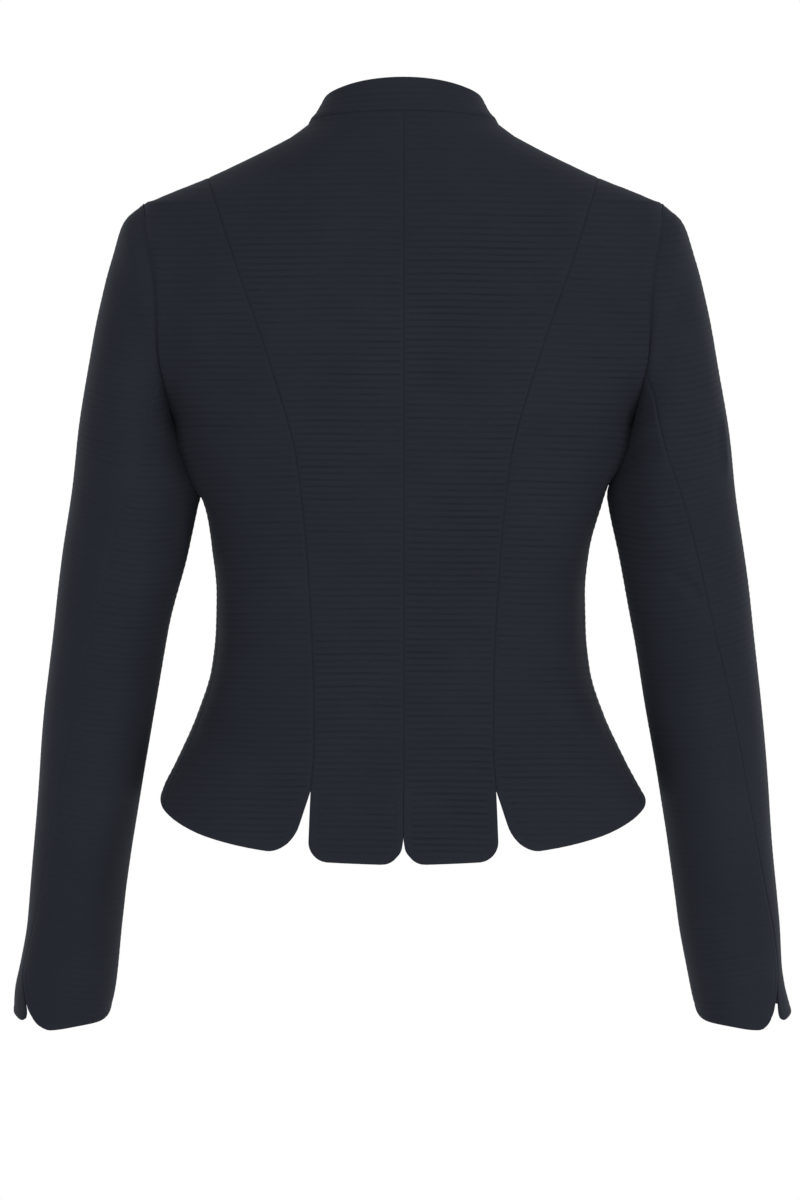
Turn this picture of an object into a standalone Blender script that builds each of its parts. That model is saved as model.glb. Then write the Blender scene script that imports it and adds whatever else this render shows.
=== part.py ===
"""A ladies' dirndl jacket as it hangs on its wearer: princess seams, stand-up collar, two-piece
set-in sleeves, slit cuffs, and a back hem cut into four round-cornered flaps.

Every panel is a closed wall of cloth, lofted between its own seams on one body form.  The jacket
faces -Y, its back faces +Y, and z = 0 is where the shoulder seam meets the collar.
All sizes below are millimetres; MM turns them into Blender's metres.
"""
import math

import bmesh
import bpy
from mathutils import Vector

MM = 0.001

# ------------------------------------------------------------------ driving sizes (millimetres)
WALL = 2.0                  # thickness of the ribbed cloth
SEAM_GAP = 0.3              # space between two pieces at a seam
NECK_HALF_WIDTH = 72.0      # neck point, from the centre line
BACK_NECK_RISE = 8.0        # centre-back neck above the neck point
FRONT_NECK_DROP = 68.0      # centre-front neck below the neck point
PRINCESS_TOP_Z = -40.0      # where the princess seams meet the shoulder seam
ARMHOLE_TOP_Z = -60.0
ARMHOLE_BOTTOM_Z = -225.0
ARMHOLE_BACK_REACH = 25.0   # degrees round the body form, from the side to the back edge
ARMHOLE_FRONT_REACH = 25.0  # degrees round the body form, from the side to the front edge
ARMHOLE_STEP = 20           # degrees between two matching points of armhole and sleeve
BACK_HEM_Z = -553.0
SIDE_FLAP_HEM_Z = -546.0    # where the side flap's hem meets the princess slit
SIDE_HEM_Z = -516.0
FRONT_HEM_Z = -492.0
SLIT_TOP_Z = -500.0
FLAP_CORNER = 12.0          # radius of the flap corners
FRONT_CORNER = 20.0         # radius of the front hem corner
LAP_REACH = 15.0            # how far each front passes the centre line
LAP_LIFT = 2.4              # how far the upper front stands off the lower one
LAP_LINES = (28.0, 16.0, 0.0, -LAP_REACH)
COLLAR_HEIGHT = 26.3
COLLAR_SIDE_HEIGHT = 22.3
COLLAR_BACK_LEAN = 0.25     # inward run for each unit of rise
COLLAR_SIDE_LEAN = 0.60
COLLAR_FRONT_LEAN = 0.35
COLLAR_OPENING = 1.0        # from the collar's end to the centre line
COLLAR_CORNER = 9.0
BUTTON_COUNT = 7
BUTTON_RADIUS = 7.5
BUTTON_HEIGHT = 3.6
BUTTON_RIM = 1.4
BUTTON_TOP_Z = -86.0
BUTTON_BOTTOM_Z = -458.0
BUTTON_SEAT_GAP = 0.4

BACK_CENTRE_COLUMNS = (4, 3)    # under the neckline, under the shoulder seam
FRONT_CENTRE_COLUMNS = (3, 5)   # under the shoulder seam, under the neckline as far as the lap
BACK_SIDE_COLUMNS = 6
FRONT_SIDE_COLUMNS = 7
COLLAR_ROWS = 2
YOKE_REACH = 7                  # rows over which the shape of the top edge fades out
HEM_REACH = 6                   # rows over which the shape of the hem fades in
SLIT_ROWS = 3
ROW_COUNT = 24

# Body form: one row for each level.  "square" fills out the oval between side and centre.
FORM = {
    "z":            (12, 0, -4, -15, -26, -40, -56, -61, -94, -132, -174, -208, -240,
                     -279, -320, -355, -380, -410, -445, -480, -507, -530, -556),
    "half_width":   (67, 72, 76, 95, 117, 147, 186, 196, 201, 200, 195, 181, 166,
                     152, 142, 138.5, 138.8, 142, 153, 169, 182.7, 191, 200),
    "back_depth":   (57, 62, 64, 67, 70, 74, 78.5, 80, 89, 96, 100, 100, 98,
                     93, 88, 85, 85, 88, 97, 109, 118, 125, 132),
    "front_depth":  (36, 40, 41, 44, 48, 53, 60, 63, 82, 103, 121, 130, 134,
                     127, 113, 103, 100, 103, 111, 120, 127, 132, 137),
    "back_square":  (0, 0, 0, 0, 0, 0, 0, 0, 0.02, 0.03, 0.04, 0.04, 0.04,
                     0.04, 0.04, 0.04, 0.04, 0.04, 0.04, 0.04, 0.04, 0.04, 0.04),
    "front_square": (0, 0, 0, 0, 0, 0, 0, 0, 0.02, 0.04, 0.06, 0.07, 0.07,
                     0.06, 0.04, 0.03, 0.03, 0.04, 0.05, 0.05, 0.05, 0.05, 0.05),
}

# Princess seams: distance from the centre line at each level.
BACK_PRINCESS = {
    "z": (-40, -72, -106, -181, -257, -336, -434, -466, -502, -556),
    "x": (147, 137, 126, 100, 79.5, 71.5, 67, 66.8, 69, 71),
}
FRONT_PRINCESS = {
    "z": (-40, -110, -180, -250, -320, -370, -434, -495),
    "x": (147, 118, 100, 92, 80, 70, 72, 80),
}
SIDE_SEAM = {
    "z":     (-225, -300, -370, -450, -516),
    "angle": (90, 85, 80, 75, 72),
}
# The hem's level beyond the centre flaps: angle 0 is centre back, 90 the side, 180 centre front.
HEM = {
    "angle": (20, 27, 43, 60, 72, 90, 120, 150, 180),
    "z":     (-548.5, -546, -536.5, -524, -516, -507, -500, -495, -492),
}
# How far the slit edges have swung away from their seam line.
PRINCESS_SLIT = {
    "z":     (-500, -512, -524, -536, -548),
    "width": (0, 3.5, 7, 11, 14),
}
CENTRE_SLIT = {
    "z":     (-500, -530, -541, -553),
    "width": (0, 0, 1.0, 3.4),
}
# Levels of the seams beside the yoke and armhole, from the top edge to the underarm.
YOKE_ROWS = {
    "centre_back":    (8, 2, -9, -26, -50, -78, -108, -138, -168, -198),
    "back_princess":  (-40, -44, -52, -66, -86, -110, -136, -162, -188, -212),
    "front_princess": (-40, -44, -52, -67, -88, -112, -138, -164, -188, -212),
    "centre_front":   (-68, -74, -84, -98, -116, -136, -157, -178, -199, -220),
}
# Sleeve: one row for each ring below the armhole.  tilt drops the ring's back edge, and hang
# drops it further beside the cuff's slit.
SLEEVE = {
    "outer_x":     (211, 221, 230, 238, 245, 250, 256.3, 262, 270, 276.2, 282, 286.5,
                    289.5, 293, 294),
    "outer_z":     (-75, -103, -140, -185, -230, -275, -321, -366, -434, -502, -570, -612,
                    -634, -654, -671),
    "inner_x":     (171.8, 168.6, 164.8, 159.6, 154, 155, 162.5, 172, 184, 196, 206.5, 212,
                    215.5, 219, 222.5),
    "inner_z":     (-230, -237, -248, -262, -277, -290, -325, -366, -434, -502, -570, -612,
                    -635, -656, -674),
    "mid_y":       (-10, -8, -4, 1, 6, 9, 11, 9, 0, -12, -24, -31.5, -35.5, -39, -42),
    "half_depth":  (61, 61.5, 61, 60, 59, 57.5, 56, 54, 51, 48.5, 46, 44.5, 43.5, 43, 42.5),
    "tilt":        (0, 0, -0.03, -0.06, -0.08, -0.06, -0.02, 0.06, 0.15, 0.17, 0.17, 0.17,
                    0.17, 0.17, 0.17),
    "elbow_seam":  (115, 109, 101, 94, 87, 79, 73, 67.5, 56.5, 48, 37, 28.5, 25, 34, 43),
    "front_seam":  (-104, -108, -113, -118, -122, -126, -128, -130, -138, -146, -154, -159,
                    -161, -163, -165),
    "slit_angle":  (0, 0, 0, 0, 0, 0, 0, 0, 0, 0, 0, 0, 0, 2, 5),
    "hang":        (0, 0, 0, 0, 0, 0, 0, 0, 0, 0, 0, 0, 0.5, 2.5, 4.8),
}
HANG_TURN, HANG_REACH = math.radians(68), math.radians(35)
ARMHOLE_SEAMS = {"elbow": 120, "front": -100}
TONGUE_CORNER = 9.0         # radius of the cuff's corner on the top sleeve
CUFF_CORNER = 15.0          # and on the under sleeve, which hangs lower

CLOTH_COLOUR = (0.020, 0.023, 0.030, 1.0)
BUTTON_COLOUR = (0.012, 0.013, 0.017, 1.0)


# ------------------------------------------------------------------ small helpers
def between(start, end, share):
    return start + (end - start) * share


def even(start, end, steps):
    return [between(start, end, step / steps) for step in range(steps + 1)]


def smooth(keys, values, key):
    """Monotone cubic through a table, level beyond its ends."""
    if keys[0] > keys[-1]:
        keys, values = keys[::-1], values[::-1]
    if key <= keys[0]:
        return values[0]
    if key >= keys[-1]:
        return values[-1]
    last = len(keys) - 1
    slopes = [(values[i + 1] - values[i]) / (keys[i + 1] - keys[i]) for i in range(last)]

    def tangent(i):
        if i == 0 or i == last:
            return slopes[min(i, last - 1)]
        before, after = slopes[i - 1], slopes[i]
        if before * after <= 0:
            return 0.0
        return 2 * before * after / (before + after)

    i = max(n for n in range(last) if keys[n] <= key)
    step = keys[i + 1] - keys[i]
    t = (key - keys[i]) / step
    return ((1 + 2 * t) * (1 - t) ** 2 * values[i] + t * (1 - t) ** 2 * step * tangent(i)
            + t * t * (3 - 2 * t) * values[i + 1] + t * t * (t - 1) * step * tangent(i + 1))


def read(table, column, key, by="z"):
    return smooth(table[by], table[column], key)


# ------------------------------------------------------------------ the body form
def oval(angle, square):
    """Unit oval: (1 at the side, 1 at centre back), filled out by square."""
    side = (math.sin(angle) + square * math.sin(3 * angle)) / (1 - square)
    back = (math.cos(angle) - square * math.cos(3 * angle)) / (1 - square)
    return side, back


def form_point(degrees, z):
    angle = math.radians(degrees)
    face = "back" if math.cos(angle) > 0 else "front"
    side, back = oval(angle, read(FORM, face + "_square", z))
    width = read(FORM, "half_width", z)
    depth = read(FORM, face + "_depth", z)
    return Vector((width * side, depth * back, z))


def form_normal(degrees, z):
    round_body = form_point(degrees + 0.5, z) - form_point(degrees - 0.5, z)
    up = form_point(degrees, z + 0.5) - form_point(degrees, z - 0.5)
    return up.cross(round_body).normalized()


def angle_at(x, z, front=False):
    """The form's angle where its surface is x from the centre line, at level z."""
    square = read(FORM, "front_square" if front else "back_square", z)
    share = min(abs(x) / read(FORM, "half_width", z), 1.0)
    low, high = 0.0, math.pi / 2
    for _ in range(40):
        middle = (low + high) / 2
        if oval(middle, square)[0] < share:
            low = middle
        else:
            high = middle
    degrees = math.copysign(math.degrees(low), x)
    return 180.0 - degrees if front else degrees


# ------------------------------------------------------------------ seams
# Centre panels are laid out as (x, z) seen from the back or front, and side panels as (angle, z)
# round the form, because each is smooth there.
def levels(seam, slit_top, hem, corner):
    """Levels of one seam's rows, from its top edge to the hem."""
    yoke = list(YOKE_ROWS[seam])
    waist_rows = ROW_COUNT - SLIT_ROWS - len(yoke) + 1
    return (yoke + even(yoke[-1], slit_top, waist_rows)[1:]
            + even(slit_top, hem + corner, SLIT_ROWS - 1)[1:] + [hem])


def armhole(degrees, face):
    """Point of the armhole oval; 0 is its top and 180 the underarm."""
    turn = math.radians(degrees)
    reach = -ARMHOLE_BACK_REACH if face == "back" else ARMHOLE_FRONT_REACH
    middle = (ARMHOLE_TOP_Z + ARMHOLE_BOTTOM_Z) / 2
    rise = (ARMHOLE_TOP_Z - ARMHOLE_BOTTOM_Z) / 2
    return 90 + reach * abs(math.sin(turn)), middle + rise * math.cos(turn)


def centre_back_seam():
    rows = levels("centre_back", SLIT_TOP_Z, BACK_HEM_Z, FLAP_CORNER)
    return [(read(CENTRE_SLIT, "width", z), z) for z in rows]


def back_princess_seam(side_panel):
    hem = SIDE_FLAP_HEM_Z if side_panel else BACK_HEM_Z
    rows = levels("back_princess", SLIT_TOP_Z, hem, FLAP_CORNER)
    swing = [read(PRINCESS_SLIT, "width", z) if side_panel else 0.0 for z in rows]
    return [(read(BACK_PRINCESS, "x", z) + width, z) for z, width in zip(rows, swing)]


def side_seam(face):
    rows = [armhole(turn, face) for turn in range(0, 180, ARMHOLE_STEP)]
    for z in even(ARMHOLE_BOTTOM_Z, SIDE_HEM_Z, ROW_COUNT - len(rows)):
        rows.append((read(SIDE_SEAM, "angle", z), z))
    return rows


def front_princess_seam():
    yoke = list(YOKE_ROWS["front_princess"])
    hem = read(HEM, "z", 155, by="angle")
    rows = yoke + even(yoke[-1], hem, ROW_COUNT + 1 - len(yoke))[1:]
    return [(read(FRONT_PRINCESS, "x", z), z) for z in rows]


def centre_front_levels():
    yoke = list(YOKE_ROWS["centre_front"])
    above_corner = FRONT_HEM_Z + FRONT_CORNER
    return yoke + even(yoke[-1], above_corner, ROW_COUNT - len(yoke))[1:] + [FRONT_HEM_Z]


def neckline(turn, face):
    """The neck seam, as (x, z); turn 90 is the neck point and 0 the centre line."""
    turn = math.radians(turn)
    level = max(math.cos(turn), 0.0)
    z = BACK_NECK_RISE * level ** 0.8 if face == "back" else -FRONT_NECK_DROP * level
    return NECK_HALF_WIDTH * math.sin(turn), z


def neck_turns(face):
    """Turns of the neck seam's points, from the neck point to the centre line."""
    if face == "back":
        return even(90, 0, BACK_CENTRE_COLUMNS[0])
    lap = [math.degrees(math.asin(x / NECK_HALF_WIDTH)) for x in LAP_LINES[:-1]]
    return even(90, lap[0], FRONT_CENTRE_COLUMNS[1]) + lap[1:]


def round_form(seam, face):
    """The (angle, z) of a list of (x, z)."""
    return [(angle_at(x, z, face == "front"), z) for x, z in seam]


# ------------------------------------------------------------------ panels
def fade(row, rows, reach):
    """Weight that falls from 1 on row 0 to 0 on row `reach`, by distance along an edge."""
    if row >= reach:
        return 0.0
    share = (rows[0] - rows[row]) / (rows[0] - rows[reach])
    return (1 - share) ** 1.5


def fill(left, right, top, bottom):
    """Grid between four edges; top and bottom have one point for each column."""
    columns = len(top) - 1
    edge_rows = [z for _, z in left]
    grid = []
    for row, (start, end) in enumerate(zip(left, right)):
        top_weight = fade(row, edge_rows, YOKE_REACH)
        bottom_weight = max(0.0, 1 - (len(left) - 1 - row) / HEM_REACH) ** 1.5
        line = []
        for column in range(columns + 1):
            share = column / columns
            place = []
            for axis in (0, 1):
                value = between(start[axis], end[axis], share)
                straight_top = between(left[0][axis], right[0][axis], share)
                value += top_weight * (top[column][axis] - straight_top)
                straight_hem = between(left[-1][axis], right[-1][axis], share)
                value += bottom_weight * (bottom[column][axis] - straight_hem)
                place.append(value)
            line.append(tuple(place))
        grid.append(line)
    return grid


def hem_line(start, end, columns):
    """The hem between two (angle, z) corners, bent to the hem's own level."""
    line = []
    for share in even(0, 1, columns):
        angle = between(start[0], end[0], share)
        line_z = between(start[1], end[1], share)
        straight = between(read(HEM, "z", start[0], by="angle"),
                           read(HEM, "z", end[0], by="angle"), share)
        line.append((angle, line_z + read(HEM, "z", angle, by="angle") - straight))
    return line


def shoulder_line(start_z, end_z, columns):
    """The shoulder seam as (x, z): the form's own outline."""
    return [(read(FORM, "half_width", z), z) for z in even(start_z, end_z, columns)]


def back_centre_grid():
    left = centre_back_seam()
    right = back_princess_seam(side_panel=False)
    neck = [neckline(turn, "back") for turn in reversed(neck_turns("back"))]
    top = neck + shoulder_line(0, PRINCESS_TOP_Z, BACK_CENTRE_COLUMNS[1])[1:]
    bottom = [(x, BACK_HEM_Z) for x in even(left[-1][0], right[-1][0], len(top) - 1)]
    return [round_form(line, "back") for line in fill(left, right, top, bottom)]


def back_side_grid():
    left = round_form(back_princess_seam(side_panel=True), "back")
    right = side_seam("back")
    top = round_form(shoulder_line(PRINCESS_TOP_Z, ARMHOLE_TOP_Z, BACK_SIDE_COLUMNS), "back")
    return fill(left, right, top, hem_line(left[-1], right[-1], BACK_SIDE_COLUMNS))


def front_side_grid():
    left = side_seam("front")
    right = round_form(front_princess_seam(), "front")
    top = round_form(shoulder_line(ARMHOLE_TOP_Z, PRINCESS_TOP_Z, FRONT_SIDE_COLUMNS), "front")
    return fill(left, right, top, hem_line(left[-1], right[-1], FRONT_SIDE_COLUMNS))


def front_centre_grid():
    rows = centre_front_levels()
    left = front_princess_seam()
    lap = []
    for row, z in enumerate(rows):
        rise = fade(row, rows, YOKE_REACH) * FRONT_NECK_DROP
        turns = [math.asin(x / NECK_HALF_WIDTH) for x in LAP_LINES]
        lap.append([(x, z + rise * (1 - math.cos(turn))) for x, turn in zip(LAP_LINES, turns)])
    right = [line[0] for line in lap]
    neck = [neckline(turn, "front") for turn in neck_turns("front")[:FRONT_CENTRE_COLUMNS[1] + 1]]
    top = shoulder_line(PRINCESS_TOP_Z, 0, FRONT_CENTRE_COLUMNS[0]) + neck[1:]
    bottom = [(between(left[-1][0], right[-1][0], share), between(left[-1][1], FRONT_HEM_Z, share))
              for share in even(0, 1, len(top) - 1)]
    body = fill(left, right, top, bottom)
    return [round_form(line + lap_line[1:], "front") for line, lap_line in zip(body, lap)]


# ------------------------------------------------------------------ from grids to walls of cloth
def on_form(grid):
    """Outer skin and outward directions of a grid of (angle, z)."""
    points = [[form_point(angle, z) for angle, z in line] for line in grid]
    normals = [[form_normal(angle, z) for angle, z in line] for line in grid]
    return points, normals


def own_normals(points):
    """Outward directions of a grid of points, from its own rows and columns."""
    last_row, last_column = len(points) - 1, len(points[0]) - 1
    normals = []
    for row in range(last_row + 1):
        line = []
        for column in range(last_column + 1):
            down = points[min(row + 1, last_row)][column] - points[max(row - 1, 0)][column]
            along = points[row][min(column + 1, last_column)] - points[row][max(column - 1, 0)]
            line.append(down.cross(along).normalized())
        normals.append(line)
    return normals


def slide(points, row, column, to_row, to_column, distance):
    """Move one point of a grid towards another by a distance."""
    way = points[to_row][to_column] - points[row][column]
    points[row][column] = points[row][column] + way.normalized() * distance


def draw_in_edges(points, normals, distance, top=True):
    """Draw the side edges, and the top edge, square back from their seams."""
    whole = [list(line) for line in points]
    last_row, last = len(points) - 1, len(points[0]) - 1

    def draw_in(row, column, before, after, inner):
        seam = whole[after[0]][after[1]] - whole[before[0]][before[1]]
        way = normals[row][column].cross(seam).normalized()
        if way.dot(whole[inner[0]][inner[1]] - whole[row][column]) < 0:
            way = -way
        points[row][column] = points[row][column] + way * distance

    for row in range(last_row + 1):
        above, below = max(row - 1, 0), min(row + 1, last_row)
        draw_in(row, 0, (above, 0), (below, 0), (row, 1))
        draw_in(row, last, (above, last), (below, last), (row, last - 1))
    if top:
        for column in range(last + 1):
            draw_in(0, column, (0, max(column - 1, 0)), (0, min(column + 1, last)), (1, column))


def round_corner(points, row, column, radius):
    """Bring a corner point of a grid in to the middle of its corner arc."""
    inset = radius * (1 - math.cos(math.pi / 4))
    next_row = row - 1 if row else 1
    next_column = column - 1 if column else 1
    along = (points[row][next_column] - points[row][column]).normalized()
    across = (points[next_row][column] - points[row][column]).normalized()
    points[row][column] = points[row][column] + (along + across) * inset


def cloth_wall(name, points, normals, mirrored, material, collection):
    """Close a wall of cloth between the outer skin and a skin one thickness inside it."""
    mesh = bmesh.new()
    flip = Vector((-1, 1, 1)) if mirrored else Vector((1, 1, 1))
    rows, columns = len(points), len(points[0])

    def skin(depth):
        return [[mesh.verts.new((points[r][c] - normals[r][c] * depth) * flip * MM)
                 for c in range(columns)] for r in range(rows)]

    outer, inner = skin(0.0), skin(WALL)
    for r in range(rows - 1):
        for c in range(columns - 1):
            for face in (outer, inner):
                mesh.faces.new((face[r][c], face[r][c + 1], face[r + 1][c + 1], face[r + 1][c]))
    rim = ([(0, c) for c in range(columns)] + [(r, columns - 1) for r in range(1, rows)]
           + [(rows - 1, c) for c in range(columns - 2, -1, -1)]
           + [(r, 0) for r in range(rows - 2, 0, -1)])
    # Rim faces are split from their upper outer corner, so that two edges at a seam match.
    for ends in zip(rim, rim[1:] + rim[:1]):
        (r, c), (low_r, low_c) = sorted(ends, key=lambda end: -points[end[0]][end[1]].z)
        mesh.faces.new((outer[r][c], outer[low_r][low_c], inner[low_r][low_c]))
        mesh.faces.new((outer[r][c], inner[low_r][low_c], inner[r][c]))
    return finish(name, mesh, material, collection)


def finish(name, mesh, material, collection):
    bmesh.ops.recalc_face_normals(mesh, faces=mesh.faces)
    data = bpy.data.meshes.new(name)
    mesh.to_mesh(data)
    mesh.free()
    data.materials.append(material)
    data.shade_smooth()
    data.set_sharp_from_angle(angle=math.radians(50))
    piece = bpy.data.objects.new(name, data)
    collection.objects.link(piece)
    return piece


# ------------------------------------------------------------------ the jacket's pieces
def body_panels(mirrored):
    """Outer skins and directions of one side's four body panels."""
    panels = {}
    for name, grid in (("back_centre", back_centre_grid()), ("back_side", back_side_grid()),
                       ("front_side", front_side_grid()), ("front_centre", front_centre_grid())):
        points, normals = on_form(grid)
        if name == "front_centre" and mirrored:
            raise_lap(points, normals)
        draw_in_edges(points, normals, SEAM_GAP / 2)
        panels[name] = (points, normals)
    centre_flap, side_flap = panels["back_centre"][0], panels["back_side"][0]
    front = panels["front_centre"][0]
    round_corner(centre_flap, ROW_COUNT, 0, FLAP_CORNER)
    round_corner(centre_flap, ROW_COUNT, len(centre_flap[0]) - 1, FLAP_CORNER)
    round_corner(side_flap, ROW_COUNT, 0, FLAP_CORNER)
    round_corner(front, ROW_COUNT, len(front[0]) - 1, FRONT_CORNER)
    return panels


def raise_lap(points, normals):
    """Lift the upper front's lap off the front that it covers."""
    lap_columns = len(LAP_LINES) - 1
    for line, directions in zip(points, normals):
        for column in range(len(line) - lap_columns, len(line)):
            line[column] = line[column] + directions[column] * LAP_LIFT


def seam_start(edge, normal, into_gap, leaving):
    """First point of a piece sewn to an edge, moved clear of the edge by the seam gap."""
    way = into_gap.normalized() + leaving.normalized() + normal * 0.5
    return edge + way.normalized() * SEAM_GAP


def sleeve_ring(station, turn):
    """Point of a sleeve ring; turn 0 is its outer edge, 90 the back, 180 the inner edge."""
    row = {column: values[station] for column, values in SLEEVE.items()}
    turn = math.radians(turn)
    middle_x = (row["outer_x"] + row["inner_x"]) / 2
    middle_z = (row["outer_z"] + row["inner_z"]) / 2
    reach = row["half_depth"] * math.sin(turn)
    past_slit = abs((turn - HANG_TURN + math.pi) % (2 * math.pi) - math.pi)
    hang = row["hang"] * math.exp(-(past_slit / HANG_REACH) ** 2)
    return Vector((middle_x + (row["outer_x"] - middle_x) * math.cos(turn),
                   row["mid_y"] + reach,
                   middle_z + (row["outer_z"] - middle_z) * math.cos(turn) - row["tilt"] * reach
                   - hang))


def sleeve_start(turn, below):
    """The sleeve's first ring: the armhole seam, clear of the body panels."""
    face = "back" if math.sin(math.radians(turn)) >= 0 else "front"
    around = turn % 360
    around = min(around, 360 - around)
    angle, z = armhole(around, face)
    edge, normal = form_point(angle, z), form_normal(angle, z)
    ahead, behind = armhole(min(around + 1, 180), face), armhole(max(around - 1, 0), face)
    along = form_point(*ahead) - form_point(*behind)
    into_gap = normal.cross(along)
    centre = form_point(90, (ARMHOLE_TOP_Z + ARMHOLE_BOTTOM_Z) / 2)
    if into_gap.dot(centre - edge) < 0:
        into_gap = -into_gap
    return seam_start(edge, normal, into_gap, below - edge)


def sleeve_piece(part):
    """Grid of a sleeve piece: a row for each ring, columns from seam to seam."""
    stations = len(SLEEVE["outer_x"])
    if part == "top":
        first, last = ARMHOLE_SEAMS["front"], ARMHOLE_SEAMS["elbow"]
    else:
        first, last = ARMHOLE_SEAMS["elbow"], 360 + ARMHOLE_SEAMS["front"]
    columns = (last - first) // ARMHOLE_STEP
    rings = []
    for station in range(stations):
        elbow, front = SLEEVE["elbow_seam"][station], SLEEVE["front_seam"][station]
        slit = SLEEVE["slit_angle"][station]
        if part == "top":
            turns = even(front, elbow, columns)
        else:
            turns = even(elbow + slit, 360 + front, columns)
        rings.append([sleeve_ring(station, turn) for turn in turns])
    start = [sleeve_start(turn, rings[0][column])
             for column, turn in enumerate(range(first, last + 1, ARMHOLE_STEP))]
    return [start] + rings


def sleeves():
    """Outer skins and directions of the sleeve's two pieces."""
    top, under = sleeve_piece("top"), sleeve_piece("under")
    whole = [line + other[1:] for line, other in zip(top, under)]
    closed = [[line[-2]] + line + [line[1]] for line in whole]
    directions = [line[1:-1] for line in own_normals(closed)]
    split = len(top[0])
    pieces = {"top_sleeve": (top, [line[:split] for line in directions]),
              "under_sleeve": (under, [line[split - 1:] for line in directions])}
    for points, normals in pieces.values():
        draw_in_edges(points, normals, SEAM_GAP / 2, top=False)
    last = len(top) - 1
    round_corner(top, last, len(top[0]) - 1, TONGUE_CORNER)
    round_corner(under, last, 0, CUFF_CORNER)
    return pieces


def collar_grid():
    """Grid of the collar band, from its left end round the back to its right end."""
    half = []
    turns = [("front", turn) for turn in reversed(neck_turns("front"))]
    turns += [("back", turn) for turn in neck_turns("back")[1:]]
    for face, turn in turns:
        x, z = neckline(turn, face)
        angle = angle_at(x, z, face == "front")
        edge, normal = form_point(angle, z), form_normal(angle, z)
        side_share = math.sin(math.radians(turn)) ** 2
        centre_lean = COLLAR_BACK_LEAN if face == "back" else COLLAR_FRONT_LEAN
        lean = between(centre_lean, COLLAR_SIDE_LEAN, side_share)
        inward = Vector((-edge.x, -edge.y, 0)).normalized()
        rise = (Vector((0, 0, 1)) + inward * lean).normalized()
        into_gap = inward * 0.5 + Vector((0, 0, 1))
        start = seam_start(edge, normal, into_gap, rise)
        height = between(COLLAR_HEIGHT, COLLAR_SIDE_HEIGHT, side_share)
        half.append([start + rise * height * share for share in even(1, 0, COLLAR_ROWS)])
    other = [[point * Vector((-1, 1, 1)) for point in line] for line in reversed(half[:-1])]
    columns = half + other
    return [[column[row] for column in columns] for row in range(COLLAR_ROWS + 1)]


def collar(material, collection):
    points = collar_grid()
    normals = own_normals(points)
    last = len(points[0]) - 1
    for row in range(len(points)):
        slide(points, row, 0, row, 1, COLLAR_OPENING)
        slide(points, row, last, row, last - 1, COLLAR_OPENING)
    round_corner(points, 0, 0, COLLAR_CORNER)
    round_corner(points, 0, last, COLLAR_CORNER)
    cloth_wall("collar", points, normals, False, material, collection)


def button_seat(points, z):
    """Point on the lap's centre line at level z, and the lap's outward direction there."""
    column = len(points[0]) - 2
    line = [row[column] for row in points]
    upper = next(r for r in range(len(line) - 1) if line[r].z >= z > line[r + 1].z)
    share = (line[upper].z - z) / (line[upper].z - line[upper + 1].z)
    down = line[upper + 1] - line[upper]
    outward = Vector((1, 0, 0)).cross(down).normalized()
    if outward.y > 0:
        outward = -outward
    return line[upper] + down * share, outward


def button(name, seat, outward, material, collection):
    """Domed button, turned about its own axis and laid on its seat."""
    rim = BUTTON_RADIUS
    profile = ((0, BUTTON_HEIGHT), (0.45 * rim, 0.93 * BUTTON_HEIGHT),
               (0.8 * rim, 0.74 * BUTTON_HEIGHT), (rim, BUTTON_RIM), (0.96 * rim, 0.3),
               (0.9 * rim, 0), (0, 0))
    data = bpy.data.meshes.new(name)
    edges = [(i, i + 1) for i in range(len(profile) - 1)]
    data.from_pydata([(x * MM, 0, z * MM) for x, z in profile], edges, [])
    data.materials.append(material)
    piece = bpy.data.objects.new(name, data)
    collection.objects.link(piece)
    turned = piece.modifiers.new("turned", "SCREW")
    turned.steps = turned.render_steps = 20
    turned.use_merge_vertices = True
    turned.merge_threshold = 0.00001
    piece.rotation_euler = outward.to_track_quat("Z", "X").to_euler()
    piece.location = (seat + outward * BUTTON_SEAT_GAP) * MM


# ------------------------------------------------------------------ scene
def material_of(name, colour, roughness):
    material = bpy.data.materials.new(name)
    material.use_nodes = True
    shader = material.node_tree.nodes["Principled BSDF"]
    shader.inputs["Base Color"].default_value = colour
    shader.inputs["Roughness"].default_value = roughness
    shader.inputs["Metallic"].default_value = 0.0
    return material


def main():
    for leftover in list(bpy.data.objects):
        bpy.data.objects.remove(leftover, do_unlink=True)
    collection = bpy.data.collections.new("dirndl_jacket")
    bpy.context.scene.collection.children.link(collection)
    cloth = material_of("navy_cloth", CLOTH_COLOUR, 0.85)
    horn = material_of("dark_button", BUTTON_COLOUR, 0.4)

    for side, mirrored in (("left", False), ("right", True)):
        pieces = body_panels(mirrored)
        pieces.update(sleeves())
        for name, (points, normals) in pieces.items():
            cloth_wall(name + "_" + side, points, normals, mirrored, cloth, collection)
        upper_front = pieces["front_centre"][0]
    collar(cloth, collection)

    for number, z in enumerate(even(BUTTON_TOP_Z, BUTTON_BOTTOM_Z, BUTTON_COUNT - 1), 1):
        seat, outward = button_seat(upper_front, z)
        button("button_%d" % number, seat, outward, horn, collection)


main()
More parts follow.
